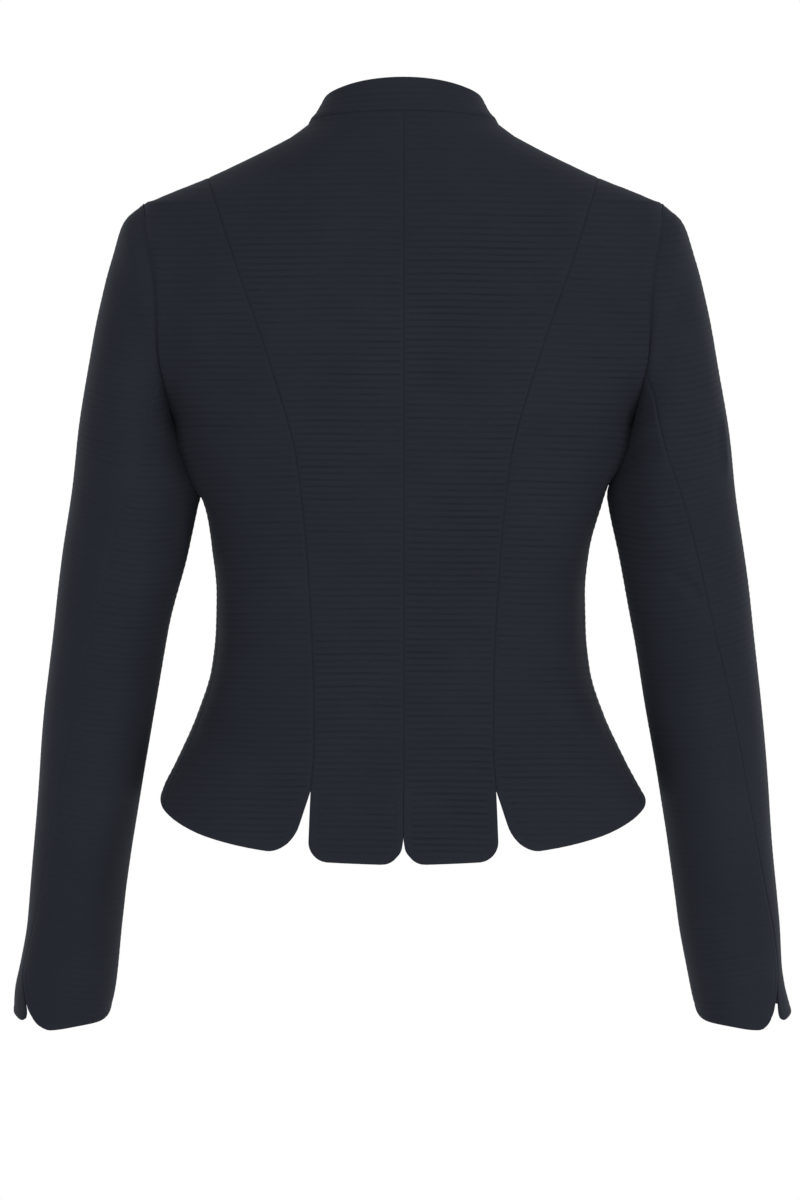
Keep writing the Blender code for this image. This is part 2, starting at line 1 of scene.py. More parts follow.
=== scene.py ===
import math
import bpy
import numpy as np
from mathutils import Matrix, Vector


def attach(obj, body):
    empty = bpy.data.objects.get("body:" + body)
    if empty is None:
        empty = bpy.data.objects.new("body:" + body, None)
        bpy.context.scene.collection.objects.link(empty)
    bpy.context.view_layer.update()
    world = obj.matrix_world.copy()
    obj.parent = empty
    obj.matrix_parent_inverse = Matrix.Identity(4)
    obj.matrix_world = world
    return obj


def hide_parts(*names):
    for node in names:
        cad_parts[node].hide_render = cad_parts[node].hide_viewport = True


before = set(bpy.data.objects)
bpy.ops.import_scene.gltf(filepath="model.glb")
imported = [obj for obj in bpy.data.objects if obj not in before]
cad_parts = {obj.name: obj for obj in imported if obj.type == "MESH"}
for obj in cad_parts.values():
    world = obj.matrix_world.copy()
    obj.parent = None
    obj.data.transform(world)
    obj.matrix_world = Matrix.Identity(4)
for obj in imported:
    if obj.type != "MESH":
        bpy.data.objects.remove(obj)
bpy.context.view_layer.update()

# Looks of the dirndl jacket: ribbed cloth laid on the same form as the part's panels.
# Sizes are millimetres, and MM turns them into metres.  The jacket faces -Y, its left side is
# worked out at +X and its right side mirrored from it, and z = 0 is the neck points' level.
MM = 0.001
WALL = 1.9                # cloth with its knitted ribs
GAP = -0.02               # sewn edges meet, so that no light passes
RIB = 4.8                 # pitch of the crosswise ribs on sleeves and collar
TORSO_RIBS, TORSO_CLOSING = 0.2020, 0.0000118   # ribs to a millimetre, and their closing up
RIB_HEIGHT = 0.26
PLAIN_SEAM = (0.55, 0.06)  # depth of a seam's dip and height of the ridge beside it
EDGE_ROUNDING = 0.78      # how far a free edge is rounded off on each side
ROW_STEP = 0.85
COLUMN_STEP = 5.5
CLOTH_COLOUR = (0.0102, 0.0120, 0.0163, 1)
BUTTON_COLOUR = (0.012, 0.013, 0.017, 1)
FLOOR_COLOUR = (0.93, 0.93, 0.93, 1)
FORM = {
    "z":            (12, 0, -4, -15, -26, -40, -56, -61, -94, -132, -174, -208, -240,
                     -279, -320, -355, -380, -410, -445, -480, -507, -530, -556),
    "half_width":   (67, 72, 76, 95, 117, 147, 186, 196, 201, 200, 195, 181, 166,
                     152, 142, 138.5, 138.8, 142, 153, 169, 182.7, 191, 200),
    "back_depth":   (57, 62, 64, 67, 70, 74, 78.5, 80, 89, 96, 100, 100, 98,
                     93, 88, 85, 85, 88, 97, 109, 118, 125, 132),
    "front_depth":  (36, 40, 41, 44, 48, 53, 60, 63, 82, 103, 121, 130, 134,
                     127, 113, 103, 100, 103, 111, 120, 127, 132, 137),
    "back_square":  (0,) * 8 + (0.02, 0.03) + (0.04,) * 13,
    "front_square": (0,) * 8 + (0.02, 0.04, 0.06, 0.07, 0.07, 0.06, 0.04, 0.03, 0.03, 0.04)
                    + (0.05,) * 5,
}
BACK_PRINCESS = {"z": (-40, -72, -106, -181, -257, -336, -434, -466, -502, -556),
                 "x": (147, 137, 126, 100, 79.5, 71.5, 67, 66.8, 69, 71)}
FRONT_PRINCESS = {"z": (-40, -110, -180, -250, -320, -370, -434, -495),
                  "x": (147, 118, 100, 92, 80, 70, 72, 80)}
SIDE_SEAM = {"z": (-225, -300, -370, -450, -516), "angle": (90, 85, 80, 75, 72)}
SLIT_TOP_Z = -500.0        # the back flaps part below this level
BACK_HEM_Z = -553.0
SIDE_FLAP_Z = -546.0
FLAP_CORNER = 12.0
FRONT_CORNER_Z = -472.0
FRONT_HEM_Z = -492.0
ARMHOLE_BOTTOM_Z = -225.0
ARMHOLE_HALF_HEIGHT = 82.5
ARMHOLE_REACH = 25.0       # degrees that the armhole comes forward or back from the side
HEM = {"angle": (20, 27, 43, 60, 72, 90, 120, 150, 180),
       "z": (-548.5, -546, -536.5, -524, -516, -507, -500, -495, -492)}
PRINCESS_SLIT = {"z": (-500, -512, -524, -536, -548), "width": (0, 3.5, 7, 11, 14)}
CENTRE_SLIT = {"z": (-500, -533, -541, -552), "width": (0, 0, 1.0, 3.4)}
YOKE_ROWS = {
    "centre_back":    (8, 2, -9, -26, -50, -78, -108, -138, -168, -198),
    "back_princess":  (-40, -44, -52, -66, -86, -110, -136, -162, -188, -212),
    "front_princess": (-40, -44, -52, -67, -88, -112, -138, -164, -188, -212),
    "centre_front":   (-68, -74, -84, -98, -116, -136, -157, -178, -199, -220),
}
SLEEVE = {
    "outer_x":     (211, 221, 230, 238, 245, 250, 256.3, 262, 270, 276.2, 282, 286.5,
                    289.5, 293, 294),
    "outer_z":     (-75, -103, -140, -185, -230, -275, -321, -366, -434, -502, -570, -612,
                    -634, -654, -671),
    "inner_x":     (171.8, 168.6, 164.8, 159.6, 154, 155, 162.5, 172, 184, 196, 206.5, 212,
                    215.5, 219, 222.5),
    "inner_z":     (-230, -237, -248, -262, -277, -290, -325, -366, -434, -502, -570, -612,
                    -635, -656, -674),
    "mid_y":       (-10, -8, -4, 1, 6, 9, 11, 9, 0, -12, -24, -31.5, -35.5, -39, -42),
    "half_depth":  (61, 61.5, 61, 60, 59, 57.5, 56, 54, 51, 48.5, 46, 44.5, 43.5, 43, 42.5),
    "tilt":        (0, 0, -0.03, -0.06, -0.08, -0.06, -0.02, 0.06, 0.15, 0.17, 0.17, 0.17,
                    0.17, 0.17, 0.17),
    "elbow_seam":  (119, 114, 107, 101, 93, 84.5, 78.5, 73.5, 62.5, 53.5, 40.5, 29.5,
                    26, 38, 48),
    "front_seam":  (-104, -108, -113, -118, -122, -126, -128, -130, -138, -146, -154, -159,
                    -161, -163, -165),
    "slit_angle":  (0,) * 13 + (2, 5),
    "hang":        (0,) * 12 + (0.5, 2.5, 4.8),
    "fold_lift":   (0,) * 13 + (1.0, 4.5),
}
HANG_TURN, HANG_REACH = 68, 35      # degrees round the sleeve where its hem hangs lowest
FOLD_TURN, FOLD_REACH = 184, 25     # and where it is lifted
NECK = 72.0
NECK_RISE, NECK_DROP = 8.0, 68.0    # neckline at the centre back and at the centre front
COLLAR_HEIGHT, COLLAR_SIDE_LOSS = 26.3, 4.0
COLLAR_END_GAP = 2.0
COLLAR_LEAN = {"back": 0.25, "side": 0.60, "front": 0.35}
LAP_START, LAP_LIFTED, LAP_EDGE = 28.0, 16.0, -15.0
LAP_LIFT = 2.4
ROWS, YOKE_ROW = 24, 7              # the part's coarse rows; the top edge bends rows 0 to 7
LAST_ROW = np.array((float(ROWS),))


# ------ curves and the body form
def cubic(t, step, start, end, leaving, arriving):
    """Between two values, with the slopes at both."""
    return ((1 + 2 * t) * (1 - t) ** 2 * start + t * (1 - t) ** 2 * step * leaving
            + t * t * (3 - 2 * t) * end + t * t * (t - 1) * step * arriving)


def smooth(keys, values, at):
    """Monotone cubic through a table, level beyond its ends."""
    keys, values = np.asarray(keys, float), np.asarray(values, float)
    if keys[0] > keys[-1]:
        keys, values = keys[::-1], values[::-1]
    slopes = np.diff(values) / np.diff(keys)
    before, after = slopes[:-1], slopes[1:]
    total = np.where(before + after == 0, 1.0, before + after)
    tangents = np.concatenate((slopes[:1],
                               np.where(before * after > 0, 2 * before * after / total, 0.0),
                               slopes[-1:]))
    at = np.clip(np.asarray(at, float), keys[0], keys[-1])
    i = np.clip(np.searchsorted(keys, at, side="right") - 1, 0, len(keys) - 2)
    step = keys[i + 1] - keys[i]
    return cubic((at - keys[i]) / step, step, values[i], values[i + 1],
                 tangents[i], tangents[i + 1])


def read(table, column, at, by="z"):
    return smooth(table[by], table[column], at)


def bell(distance, width):
    return np.exp(-(distance / width) ** 2)


def ease(value, start, end):
    share = np.clip((value - start) / (end - start), 0, 1)
    return share * share * (3 - 2 * share)


def add(name, data):
    thing = bpy.data.objects.new(name, data)
    bpy.context.scene.collection.objects.link(thing)
    return thing


def soften(line, reach, **padding):
    """Running weighted mean of a line of numbers."""
    window = np.hanning(2 * reach + 1)
    return np.convolve(np.pad(line, reach, **padding), window / window.sum(), "valid")


def unit(vectors):
    return vectors / np.maximum(np.linalg.norm(vectors, axis=-1, keepdims=True), 1e-9)


def oval(angle, square):
    side = (np.sin(angle) + square * np.sin(3 * angle)) / (1 - square)
    back = (np.cos(angle) - square * np.cos(3 * angle)) / (1 - square)
    return side, back


def form_point(degrees, z):
    angle = np.radians(degrees)
    behind = np.cos(angle) > 0
    square = np.where(behind, read(FORM, "back_square", z), read(FORM, "front_square", z))
    depth = np.where(behind, read(FORM, "back_depth", z), read(FORM, "front_depth", z))
    side, back = oval(angle, square)
    return np.stack((read(FORM, "half_width", z) * side, depth * back, z + 0 * angle), axis=-1)


def on_form(line):
    return form_point(line[..., 0], line[..., 1])


def form_normal(degrees, z):
    around = form_point(degrees + 0.5, z) - form_point(degrees - 0.5, z)
    up = form_point(degrees, z + 0.5) - form_point(degrees, z - 0.5)
    return unit(np.cross(up, around))


def angle_at(x, z, front=False):
    """The form's angle where its surface is x from the centre line, at level z."""
    x, z = np.broadcast_arrays(np.asarray(x, float), np.asarray(z, float))
    square = read(FORM, "front_square" if front else "back_square", z)
    share = np.minimum(np.abs(x) / read(FORM, "half_width", z), 1.0)
    low, high = np.zeros(x.shape), np.full(x.shape, math.pi / 2)
    for _ in range(40):
        middle = (low + high) / 2
        under = oval(middle, square)[0] < share
        low, high = np.where(under, middle, low), np.where(under, high, middle)
    degrees = np.copysign(np.degrees(low), x)
    return 180.0 - degrees if front else degrees


# ------ seams, by row 0 to 24
def pair(first, second):
    return np.stack(np.broadcast_arrays(np.asarray(first, float), np.asarray(second, float)),
                    axis=-1)


def level(seam, slit_top, hem, corner, rows):
    yoke = list(YOKE_ROWS[seam])
    steps = ROWS - 3 - len(yoke) + 1
    marks = (yoke + list(np.linspace(yoke[-1], slit_top, steps + 1)[1:])
             + list(np.linspace(slit_top, hem + corner, 3)[1:]) + [hem])
    return smooth(range(ROWS + 1), marks, rows)


def centre_back_seam(rows):
    z = level("centre_back", SLIT_TOP_Z, BACK_HEM_Z, FLAP_CORNER, rows)
    return pair(read(CENTRE_SLIT, "width", z), z)


def back_princess_seam(rows, side_panel):
    hem = SIDE_FLAP_Z if side_panel else BACK_HEM_Z
    z = level("back_princess", SLIT_TOP_Z, hem, FLAP_CORNER, rows)
    swing = read(PRINCESS_SLIT, "width", z) if side_panel else 0.0
    return pair(read(BACK_PRINCESS, "x", z) + swing, z)


def armhole(degrees, face):
    turn = np.radians(degrees)
    reach = -ARMHOLE_REACH if face == "back" else ARMHOLE_REACH
    return pair(90 + reach * np.abs(np.sin(turn)),
                ARMHOLE_BOTTOM_Z + ARMHOLE_HALF_HEIGHT * (1 + np.cos(turn)))


def side_seam(rows, face):
    z = np.interp(rows, (9, ROWS), (ARMHOLE_BOTTOM_Z, SIDE_SEAM["z"][-1]))
    side = pair(read(SIDE_SEAM, "angle", z), z)
    return np.where((rows < 9)[:, None], armhole(np.minimum(rows, 9) * 20, face), side)


def front_princess_seam(rows):
    yoke = list(YOKE_ROWS["front_princess"])
    hem = float(read(HEM, "z", 155.0, by="angle"))
    marks = yoke + list(np.linspace(yoke[-1], hem, ROWS + 2 - len(yoke))[1:])
    z = smooth(range(ROWS + 1), marks, rows)
    return pair(read(FRONT_PRINCESS, "x", z), z)


def centre_front_level(rows):
    yoke = list(YOKE_ROWS["centre_front"])
    marks = (yoke + list(np.linspace(yoke[-1], FRONT_CORNER_Z, ROWS + 1 - len(yoke))[1:])
             + [FRONT_HEM_Z])
    return smooth(range(ROWS + 1), marks, rows)


def neckline(turn, face):
    turn = np.radians(turn)
    flat = np.maximum(np.cos(turn), 0.0)
    z = NECK_RISE * flat ** 0.8 if face == "back" else -NECK_DROP * flat
    return pair(NECK * np.sin(turn), z)


def shoulder_line(z):
    return pair(read(FORM, "half_width", z), z)


def round_form(seam, face):
    return pair(angle_at(seam[..., 0], seam[..., 1], face == "front"), seam[..., 1])


# ------ panels as fine grids
EDGE = np.array((0, 0.22, 0.5, 0.9, 1.5, 2.4, 3.6, 4.8, 5.3, 5.8, 6.6, 8.4, 11.0))


def across(count, width, marks=()):
    """Places across a panel in its coarse columns, closer together at both edges."""
    edge = EDGE[-1]
    inner = np.linspace(edge, width - edge,
                        max(2, int(round((width - 2 * edge) / COLUMN_STEP)) + 1))
    places = np.concatenate((EDGE[:-1], inner, width - EDGE[:-1][::-1])) * count / width
    for mark in marks:
        near = np.argmin(np.abs(places - mark))
        places[near] = mark
    return places


def down(first, second):
    """Places down a panel in its coarse rows, even along the longer of two edges."""
    fine = np.linspace(0, ROWS, 1201)
    runs = [np.linalg.norm(np.diff(edge(fine), axis=0), axis=-1) for edge in (first, second)]
    length = np.concatenate(((0,), np.cumsum(np.maximum(*runs))))
    even = np.linspace(0, length[-1], int(length[-1] / ROW_STEP) + 1)
    ends = np.array((0.25, 0.55))
    even = np.concatenate(((0,), ends, even[1:-1], length[-1] - ends[::-1], (length[-1],)))
    return np.interp(even, length, fine)


def near_top(rows, z, marks):
    """How far a row still follows the panel's top edge: 1 at the top, 0 below the yoke."""
    share = np.clip(1 - (marks[0] - z) / (marks[0] - marks[1]), 0, 1) ** 1.5
    return np.where(rows < YOKE_ROW, share, 0.0)


def fill(rows, places, count, left, right, top, bottom):
    """Grid between four edges, as part of the same form as the part's panels."""
    share = (places / count)[None, :, None]
    start, end = left(rows)[:, None, :], right(rows)[:, None, :]
    marks = left(np.array((0.0, YOKE_ROW)))[:, 1]
    at_top = near_top(rows, left(rows)[:, 1], marks)[:, None, None]
    at_hem = (np.clip(1 - (ROWS - rows) / 6, 0, 1) ** 1.5)[:, None, None]
    corners = [(left(np.array((row,)))[0], right(np.array((row,)))[0])
               for row in (0.0, float(ROWS))]
    straight = [(one + (two - one) * share) for one, two in corners]
    return (start + (end - start) * share + at_top * (top(places)[None] - straight[0])
            + at_hem * (bottom(places)[None] - straight[1]))


def hem_line(start, end, share):
    angle = start[0] + (end[0] - start[0]) * share
    line = start[1] + (end[1] - start[1]) * share
    ends = read(HEM, "z", np.array((start[0], end[0])), by="angle")
    straight = ends[0] + (ends[1] - ends[0]) * share
    return pair(angle, line + read(HEM, "z", angle, by="angle") - straight)


def edge_of(seam, face=None):
    """A seam as points in space, for spacing its rows."""
    def points(rows):
        line = seam(rows)
        return on_form(round_form(line, face) if face else line)
    return points


def back_centre():
    left, right = centre_back_seam, lambda rows: back_princess_seam(rows, False)

    def top(places):
        neck = neckline(90 * np.clip(places / 4, 0, 1), "back")
        shoulder = shoulder_line(-40 * np.clip((places - 4) / 3, 0, 1))
        return np.where((places <= 4)[:, None], neck, shoulder)

    def bottom(places):
        ends = left(LAST_ROW)[0, 0], right(LAST_ROW)[0, 0]
        share = places / 7
        return pair(ends[0] + (ends[1] - ends[0]) * share,
                    BACK_HEM_Z - 1.2 + 2.6 * share ** 1.5)

    rows = down(edge_of(left, "back"), edge_of(right, "back"))
    grid = fill(rows, across(7, 82, (4,)), 7, left, right, top, bottom)
    return round_form(grid, "back")


def flank_panel(count, width, left, right, top):
    """A panel beside the side seam, whose hem follows the jacket's."""
    bottom = lambda places: hem_line(left(LAST_ROW)[0], right(LAST_ROW)[0], places / count)
    rows = down(edge_of(left), edge_of(right))
    return fill(rows, across(count, width), count, left, right, top, bottom)


def back_side():
    return flank_panel(6, 84, lambda rows: round_form(back_princess_seam(rows, True), "back"),
                       lambda rows: side_seam(rows, "back"),
                       lambda places: round_form(shoulder_line(-40 - 20 * places / 6), "back"))


def front_side():
    return flank_panel(7, 110, lambda rows: side_seam(rows, "front"),
                       lambda rows: round_form(front_princess_seam(rows), "front"),
                       lambda places: round_form(shoulder_line(-60 + 20 * places / 7), "front"))


def front_centre():
    """The front panel, with the straight strip that laps over the other front."""
    left = front_princess_seam
    marks = centre_front_level(np.array((0.0, YOKE_ROW)))
    last_turn = math.degrees(math.asin(LAP_START / NECK))

    def lap(rows, x):
        z = centre_front_level(rows)
        rise = near_top(rows, z, marks) * NECK_DROP
        return pair(x + 0 * z, z + rise * (1 - np.cos(np.arcsin(x / NECK))))

    right = lambda rows: lap(rows, LAP_START)

    def top(places):
        shoulder = shoulder_line(-40 + 40 * np.clip(places / 3, 0, 1))
        turn = 90 + (last_turn - 90) * np.clip((places - 3) / 5, 0, 1)
        return np.where((places <= 3)[:, None], shoulder, neckline(turn, "front"))

    def bottom(places):
        corner = left(LAST_ROW)[0]
        share = places / 8
        return pair(corner[0] + (LAP_START - corner[0]) * share,
                    corner[1] + (FRONT_HEM_Z - corner[1]) * share)

    rows = down(edge_of(left, "front"), edge_of(right, "front"))
    places = across(8, 62, (3,))[:-11]
    body = fill(rows, places, 8, left, right, top, bottom)
    inner = np.linspace(LAP_START, LAP_EDGE + EDGE[-1], 13)[:-1]
    strip = [lap(rows, x) for x in np.concatenate((inner, LAP_EDGE + EDGE[::-1]))]
    grid = np.concatenate((body, np.stack(strip, axis=1)), axis=1)
    return round_form(grid, "front")


def sleeve_ring(station, turn):
    """Points of a sleeve ring; turn 0 is its outer edge, 90 the back, 180 the inner edge."""
    row = {column: values[station] for column, values in SLEEVE.items()}
    turn = np.radians(turn)
    middle_x = (row["outer_x"] + row["inner_x"]) / 2
    middle_z = (row["outer_z"] + row["inner_z"]) / 2
    reach = row["half_depth"] * np.sin(turn)
    past_slit = np.abs((turn - math.radians(HANG_TURN) + math.pi) % (2 * math.pi) - math.pi)
    past_fold = np.abs(turn % (2 * math.pi) - math.radians(FOLD_TURN))
    return np.stack((middle_x + (row["outer_x"] - middle_x) * np.cos(turn),
                     row["mid_y"] + reach,
                     middle_z + (row["outer_z"] - middle_z) * np.cos(turn) - row["tilt"] * reach
                     - row["hang"] * bell(past_slit, math.radians(HANG_REACH))
                     + row["fold_lift"] * bell(past_fold, math.radians(FOLD_REACH))), axis=-1)


def sleeve_start(turn):
    """The armhole seam, all round."""
    around = turn % 360
    around = np.minimum(around, 360 - around)
    behind = (np.sin(np.radians(turn)) >= 0)[:, None]
    return on_form(np.where(behind, armhole(around, "back"), armhole(around, "front")))


def through(marks, length, at):
    """Smooth surface through rows of points, read at distances down it."""
    slopes = np.diff(marks, axis=0) / np.diff(length)[:, None, None]
    step = np.diff(length)[:, None, None]
    tangents = np.concatenate((slopes[:1],
                               (slopes[:-1] * step[1:] + slopes[1:] * step[:-1])
                               / (step[1:] + step[:-1]), slopes[-1:]))
    i = np.clip(np.searchsorted(length, at, side="right") - 1, 0, len(length) - 2)
    run = (length[i + 1] - length[i])[:, None, None]
    return cubic((at - length[i])[:, None, None] / run, run, marks[i], marks[i + 1],
                 tangents[i], tangents[i + 1])


def own_normals(points, wrap=False):
    """Outward directions of a grid, from its own rows and columns."""
    fall, along = np.gradient(points, axis=(0, 1))
    if wrap:
        along[:, 0] = along[:, -1] = points[:, 1] - points[:, -2]
    return unit(np.cross(fall, along))


def sleeve():
    """Grids and directions of the sleeve's top and under pieces."""
    grids = []
    for first, last, width in ((-100, 120, 235), (120, 260, 135)):
        count = (last - first) // 20
        share = across(count, width) / count
        rings = []
        for station in range(len(SLEEVE["outer_x"])):
            elbow, front = SLEEVE["elbow_seam"][station], SLEEVE["front_seam"][station]
            if first < 0:
                turns = front + (elbow - front) * share
            else:
                start = elbow + SLEEVE["slit_angle"][station]
                turns = start + (360 + front - start) * share
            rings.append(sleeve_ring(station, turns))
        start = sleeve_start(first + (last - first) * share)
        grids.append(np.stack([start] + rings))
    top, under = grids
    runs = np.linalg.norm(np.diff(top, axis=0), axis=-1)
    length = np.concatenate(((0,), np.cumsum(runs.mean(axis=1))))
    longest, total = runs.max(axis=1).sum(), length[-1]
    even = np.linspace(0, total, int(longest / ROW_STEP) + 1)
    ends = np.array((0.2, 0.45))
    even = np.concatenate(((0,), ends, even[1:-1], total - ends[::-1], (total,)))
    top, under = through(top, length, even), through(under, length, even)
    whole = own_normals(np.concatenate((top, under[:, 1:]), axis=1), wrap=True)
    split = top.shape[1]
    return (top, whole[:, :split]), (under, whole[:, split - 1:])


def collar():
    """Grid of the collar band, from its left end round the back to its right end."""
    turns = [("front", turn) for turn in np.linspace(0, 90, 46)]
    turns += [("back", turn) for turn in np.linspace(90, 0, 38)[1:]]
    rise_steps = np.linspace(1, 0, 34)
    half = []
    for face, turn in turns:
        x, z = neckline(np.array(turn), face)
        angle = angle_at(x, z, face == "front")
        edge = form_point(angle, z)
        side_share = math.sin(math.radians(turn)) ** 2
        lean = COLLAR_LEAN[face] + (COLLAR_LEAN["side"] - COLLAR_LEAN[face]) * side_share
        inward = unit(np.array((-edge[0], -edge[1], 0.0)))
        rise = unit(np.array((0, 0, 1.0)) + inward * lean)
        height = COLLAR_HEIGHT - COLLAR_SIDE_LOSS * side_share
        half.append(edge + rise * height * rise_steps[:, None])
    other = [points * np.array((-1, 1, 1)) for points in reversed(half[:-1])]
    points = np.stack(half + other, axis=1)
    # above its seam the band runs smoothly past the neck points
    flowing = np.stack([[soften(line, 9, mode="reflect", reflect_type="odd")
                         for line in points[..., axis]] for axis in range(3)], axis=-1)
    share = ease(26 * rise_steps, 1.5, 12)[:, None, None]
    points = points + (flowing - points) * share
    return points, own_normals(points)


# ------ the cloth's surface
# Soft creases, given for each face: a line of (x, z), the half width and the height (a trough
# is negative).  x is negative on the wearer's right.
CREASES = {"back": (
    # right sleeve: the fold that runs into the elbow seam, its roll below, the outer edge fold
    (((-199, -334), (-210, -345), (-222, -356), (-231, -366)), 4.2, -2.8),
    (((-203, -344), (-216, -358), (-229, -373)), 5.6, 2.4),
    (((-205, -318), (-219, -338), (-230, -352)), 5.0, 0.9),
    (((-239, -212), (-241, -240), (-243, -272)), 2.2, 1.5),
    (((-236, -216), (-237, -240), (-239, -268)), 2.6, -0.9),
    (((-172, -285), (-186, -300), (-203, -306)), 6.0, -0.8),
    (((-226, -430), (-244, -448), (-262, -452)), 8.0, -0.7),
    # left sleeve
    (((198, -330), (214, -346), (231, -352)), 5.5, -1.0),
    (((204, -350), (221, -364), (238, -368)), 7.0, 0.9),
    (((222, -452), (239, -470), (260, -476)), 8.0, -0.7),
    # under the arms, towards the back princess seams
    (((-158, -222), (-139, -236), (-118, -240)), 9.0, -0.9),
    (((160, -216), (142, -232), (122, -238)), 9.0, -0.8),
    # left side panel, above its flap
    (((139, -452), (147, -468), (152, -486)), 5.0, 1.0),
), "front": (
    # inner elbows, armholes and waist
    (((-176, -352), (-203, -362), (-228, -352)), 7.0, -1.5),
    (((-184, -384), (-208, -388), (-232, -374)), 8.0, -1.2),
    (((-172, -330), (-196, -336), (-216, -326)), 7.0, -0.9),
    (((178, -350), (204, -356), (228, -344)), 7.0, -1.4),
    (((186, -380), (209, -382), (230, -368)), 8.0, -1.1),
    (((176, -212), (152, -204), (132, -186)), 8.0, -1.0),
    (((-176, -210), (-154, -200), (-136, -180)), 8.0, -1.1),
    (((128, -352), (100, -362), (72, -360)), 7.0, -0.8),
    (((-128, -356), (-102, -368), (-76, -364)), 7.0, -0.9),
    (((-204, -112), (-212, -150), (-214, -190)), 9.0, -0.8),
    (((204, -108), (212, -146), (213, -186)), 9.0, -0.8),
)}


def from_line(points, line):
    """Distance of every point from a line, and where along it the nearest place is, 0 to 1."""
    best = np.full(points.shape[:2], 1e9)
    place = np.zeros(points.shape[:2])
    runs = [math.dist(one, two) for one, two in zip(line, line[1:])]
    run = 0.0
    for (x0, z0), (x1, z1), length in zip(line, line[1:], runs):
        way_x, way_z = (x1 - x0) / length, (z1 - z0) / length
        off_x, off_z = points[..., 0] - x0, points[..., 2] - z0
        ahead = np.clip(off_x * way_x + off_z * way_z, 0, length)
        far = np.hypot(off_x - ahead * way_x, off_z - ahead * way_z)
        place = np.where(far < best, (run + ahead) / sum(runs), place)
        best = np.minimum(best, far)
        run += length
    return best, place


def crease_height(points, normals):
    total = np.zeros(points.shape[:2])
    for face, creases in CREASES.items():
        facing = ease(normals[..., 1] * (1 if face == "back" else -1), 0.02, 0.4)
        for line, width, height in creases:
            distance, place = from_line(points, line)
            taper = ease(place, 0, 0.3) * (1 - ease(place, 0.7, 1))
            total += height * bell(distance, width) * taper * facing
    return total


def swell(points, seed):
    """Slow unevenness of worn cloth."""
    x, y, z = points[..., 0], points[..., 1], points[..., 2]
    return (0.30 * np.sin(x / 29 + z / 47 + seed) * np.sin(z / 36 - x / 51 + y / 43 + 2 * seed)
            + 0.16 * np.sin(x / 15 + y / 19 + 3 * seed) * np.sin(z / 17 + x / 27 + seed))


def torso_phase(points):
    """Ribs of the body panels, counted down from the neck: their pitch closes up slightly."""
    fall = -points[..., 2]
    return TORSO_RIBS * fall + TORSO_CLOSING * (fall - 80) ** 2


def sleeve_phase(points):
    """Ribs of a sleeve, square to its line and sagging towards its back."""
    rings = np.stack([(np.array(SLEEVE["outer_" + way]) + SLEEVE["inner_" + way]) / 2
                      for way in "xz"], axis=-1)
    rings = np.concatenate((rings[:1] + (rings[:1] - rings[4:5]) * 1.6, rings))
    length = np.concatenate(((0,), np.cumsum(np.linalg.norm(np.diff(rings, axis=0), axis=-1))))
    fine = np.linspace(0, length[-1], 200)
    line = np.stack([np.interp(fine, length, rings[:, i]) for i in (0, 1)], axis=-1)
    way = np.gradient(line, axis=0)
    way = unit(np.stack([soften(way[:, i], 20, mode="edge") for i in (0, 1)], axis=-1))
    x, z = np.abs(points[..., 0]), points[..., 2]
    at = np.interp(-z, -line[:, 1], fine)
    for _ in range(4):
        off_x, off_z = x - np.interp(at, fine, line[:, 0]), z - np.interp(at, fine, line[:, 1])
        at = at + off_x * np.interp(at, fine, way[:, 0]) + off_z * np.interp(at, fine, way[:, 1])
    middle = smooth(SLEEVE["outer_z"], SLEEVE["mid_y"], z)
    sag = np.interp(-z, (60, 250, 450, 670), (0.16, 0.24, 0.20, 0.15))
    return (at - sag * (points[..., 1] - middle)) / RIB


def edge_distances(points):
    """Distance of every grid point from the left, right, top and bottom edge."""
    def run(axis):
        steps = np.linalg.norm(np.diff(points, axis=axis), axis=-1)
        pad = ((1, 0), (0, 0)) if axis == 0 else ((0, 0), (1, 0))
        return np.cumsum(np.pad(steps, pad), axis=axis)
    along, fall = run(1), run(0)
    return {"left": along, "right": along[:, -1:] - along,
            "top": fall, "bottom": fall[-1:] - fall}


def round_corner(points, side, radius):
    """Round a corner at the hem by pressing the grid's square corner into a quarter disc."""
    distances = edge_distances(points)
    a, b = distances[side], distances["bottom"]
    u, v = np.clip((radius - a) / radius, 0, 1), np.clip((radius - b) / radius, 0, 1)
    inside = (u > 0) & (v > 0)
    in_u = np.where(inside, u - u * np.sqrt(1 - v * v / 2), 0) * radius
    in_v = np.where(inside, v - v * np.sqrt(1 - u * u / 2), 0) * radius
    column, inner = (0, 8) if side == "left" else (-1, -9)
    inward = unit(points[-6, inner] - points[-6, column])
    upward = unit(points[-6, inner] - points[-1, inner])
    return points + inward * in_u[..., None] + upward * in_v[..., None]


def draw_in(points, gap=GAP):
    """Move the left and right edges in, by half a gap each."""
    points = points.copy()
    first, last = unit(points[:, 1] - points[:, 0]), unit(points[:, -2] - points[:, -1])
    points[:, 0] += first * gap / 2
    points[:, -1] += last * gap / 2
    return points


